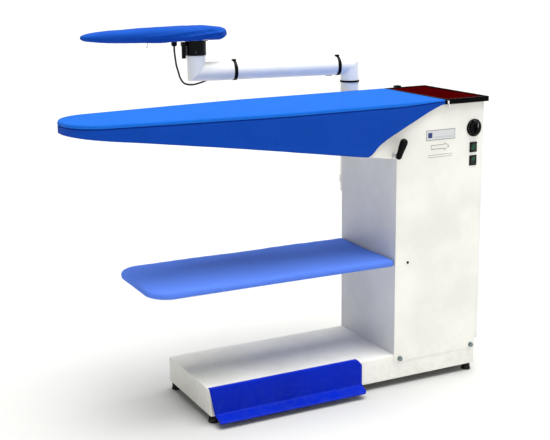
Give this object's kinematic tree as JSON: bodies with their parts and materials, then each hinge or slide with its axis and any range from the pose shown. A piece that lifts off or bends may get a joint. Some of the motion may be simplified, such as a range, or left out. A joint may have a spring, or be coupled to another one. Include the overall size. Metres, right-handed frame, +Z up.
{
  "type": "vacuum ironing table",
  "caption": "Free-standing vacuum ironing table: tapered padded board on a suction cabinet, lower shelf, iron rest, foot pedal and swinging sleeve-board arm.",
  "frame": {"origin": "on the floor, under the middle of the footprint", "axes": "+X along the board from its nose to the iron rest, +Y away from the operator, +Z up"},
  "size_m": [1.32, 0.56, 1.122],
  "materials": {
    "white_paint": "satin powder coat",
    "blue_paint": "gloss powder coat",
    "black_rubber": "matte",
    "zinc_steel": "zinc plated",
    "black_steel": "black oxide",
    "shelf_cloth": "woven polyester",
    "board_cloth": "woven polyester",
    "sleeve_cloth": "woven polyester",
    "felt": "needled felt",
    "black_aluminium": "black coated",
    "red_silicone": "satin silicone",
    "black_plastic": "moulded",
    "green_plastic": "moulded translucent",
    "silver_foil": "satin foil",
    "motor_paint": "matte enamel"
  },
  "bodies": {
    "table": {"base_deck": "white_paint", "base_side_walls": "white_paint", "base_end_walls": "white_paint", "base_crossbars": "white_paint", "foot_pads": "black_rubber", "foot_studs": "zinc_steel", "cabinet_front": "white_paint", "cabinet_back": "white_paint", "cabinet_left": "white_paint", "side_cover": "white_paint", "panel_bolts": "zinc_steel", "cover_screws": "zinc_steel", "shelf_screws": "black_steel", "shelf_frame": "white_paint", "shelf_pad": "shelf_cloth", "shelf_brackets": "white_paint", "duct_floor": "white_paint", "duct_front_wall": "white_paint", "duct_back_wall": "white_paint", "perforated_plate": "zinc_steel", "heating_element": "zinc_steel", "board_pad": "felt", "board_cover": "board_cloth", "iron_rest": "black_aluminium", "rest_mat": "red_silicone", "rest_clip": "zinc_steel", "lead_socket": "black_plastic", "nameplate": "silver_foil", "dial_plate": "black_plastic", "thermostat": "zinc_steel", "switch_frames": "black_plastic", "fan_housing": "zinc_steel", "fan_motor": "motor_paint", "fan_bracket": "zinc_steel", "exhaust_grille": "black_plastic", "control_box": "black_plastic", "pedal_microswitch": "black_plastic", "mains_gland": "black_plastic", "pedal_shaft": "zinc_steel", "pedal_spring": "zinc_steel", "arm_post": "white_paint", "post_clamps": "white_paint", "swivel_ring": "black_plastic"},
    "suction_lever": {"valve_flap": "zinc_steel", "lever_grip": "black_plastic"},
    "pedal": {"foot_pedal": "blue_paint", "pedal_arms": "zinc_steel"},
    "fan_rotor": {"impeller": "zinc_steel"},
    "dial": {"thermostat_knob": "black_plastic"},
    "upper_rocker": {"board_switch": "green_plastic"},
    "lower_rocker": {"arm_switch": "green_plastic"},
    "arm": {"arm_pipe": "white_paint", "cable_clips": "black_plastic", "heater_cable": "black_rubber"},
    "sleeve": {"sleeve_collar": "black_plastic", "sleeve_form": "zinc_steel", "sleeve_pad": "sleeve_cloth", "cable_gland": "black_plastic"},
    "clamp": {"clamp_lever": "black_steel"}
  },
  "joints": [
    {"name": "suction_lever_turn", "type": "hinge", "parent": "table", "child": "suction_lever", "pos_m": [0.32, 0, 0.742], "axis": [0, 1, 0], "range_deg": [0, 78]},
    {"name": "pedal_press", "type": "hinge", "parent": "table", "child": "pedal", "pos_m": [0, -0.15, 0.07], "axis": [1, 0, 0], "range_deg": [0, 5], "stiffness_Nm_per_rad": 40, "springref_deg": -5.73, "deforming": ["pedal_spring"]},
    {"name": "fan_spin", "type": "hinge", "parent": "table", "child": "fan_rotor", "pos_m": [0.43, -0.0675, 0.65], "axis": [0, 0, 1], "continuous": true},
    {"name": "dial_turn", "type": "hinge", "parent": "table", "child": "dial", "pos_m": [0.613, -0.23, 0.803], "axis": [0, 1, 0], "range_deg": [0, 270]},
    {"name": "upper_rocker_tilt", "type": "hinge", "parent": "table", "child": "upper_rocker", "pos_m": [0.612, -0.229, 0.742], "axis": [1, 0, 0], "range_deg": [-16, 0]},
    {"name": "lower_rocker_tilt", "type": "hinge", "parent": "table", "child": "lower_rocker", "pos_m": [0.612, -0.229, 0.7], "axis": [1, 0, 0], "range_deg": [-16, 0]},
    {"name": "arm_swing", "type": "hinge", "parent": "table", "child": "arm", "pos_m": [0.385, 0.14, 0.931], "axis": [0, 0, 1], "range_deg": [-60, 70]},
    {"name": "sleeve_swing", "type": "hinge", "parent": "arm", "child": "sleeve", "pos_m": [-0.12881, 0.22, 1.033], "axis": [0, 0, 1], "range_deg": [-90, 90], "deforming": ["heater_cable"]},
    {"name": "clamp_swing", "type": "hinge", "parent": "sleeve", "child": "clamp", "pos_m": [-0.17281, 0.22, 1.07], "axis": [0, 1, 0], "range_deg": [0, 50]}
  ]
}
